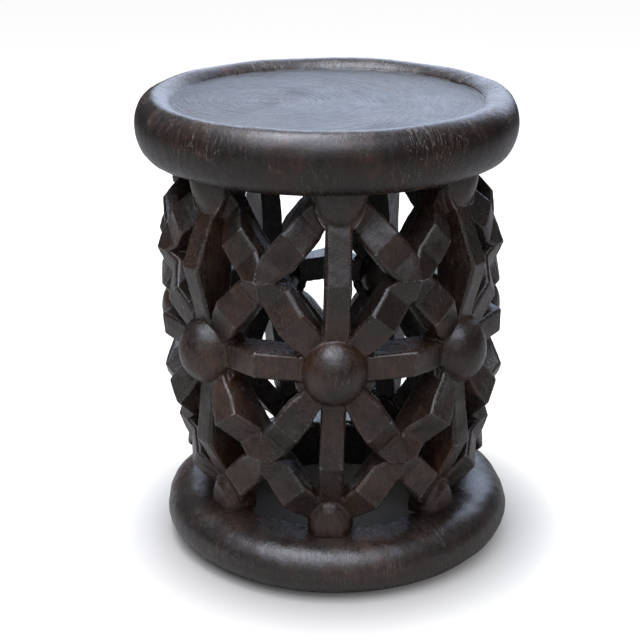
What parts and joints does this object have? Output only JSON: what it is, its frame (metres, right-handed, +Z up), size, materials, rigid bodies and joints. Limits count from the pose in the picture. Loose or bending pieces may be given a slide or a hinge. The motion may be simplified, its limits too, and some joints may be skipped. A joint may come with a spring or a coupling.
{
  "type": "carved spider stool",
  "caption": "Round carved wooden stool: a dished seat and a ring base joined by an openwork wall of spiders with bent, crossing legs.",
  "frame": {"origin": "on the floor under the middle of the stool's outline", "axes": "+Z up, -Y the front of the picture, +X the picture's right"},
  "size_m": [0.3692, 0.366, 0.4569],
  "materials": {
    "seat_wood": "dark stained hardwood, waxed, worn to reddish brown on the rim",
    "lattice_wood": "dark stained hardwood, waxed, with pale worn edges and tool marks",
    "base_wood": "dark stained hardwood, waxed, scuffed and lightly cracked"
  },
  "bodies": {
    "root": {"seat": "seat_wood", "base_ring": "base_wood", "upper_spider_1": "lattice_wood", "upper_spider_2": "lattice_wood", "upper_spider_3": "lattice_wood", "upper_spider_4": "lattice_wood", "upper_spider_5": "lattice_wood", "upper_spider_6": "lattice_wood", "upper_spider_7": "lattice_wood", "spider_1": "lattice_wood", "spider_2": "lattice_wood", "spider_3": "lattice_wood", "spider_4": "lattice_wood", "spider_5": "lattice_wood", "spider_6": "lattice_wood", "spider_7": "lattice_wood", "lower_spider_1": "lattice_wood", "lower_spider_2": "lattice_wood", "lower_spider_3": "lattice_wood", "lower_spider_4": "lattice_wood", "lower_spider_5": "lattice_wood", "lower_spider_6": "lattice_wood", "lower_spider_7": "lattice_wood"}
  },
  "joints": []
}
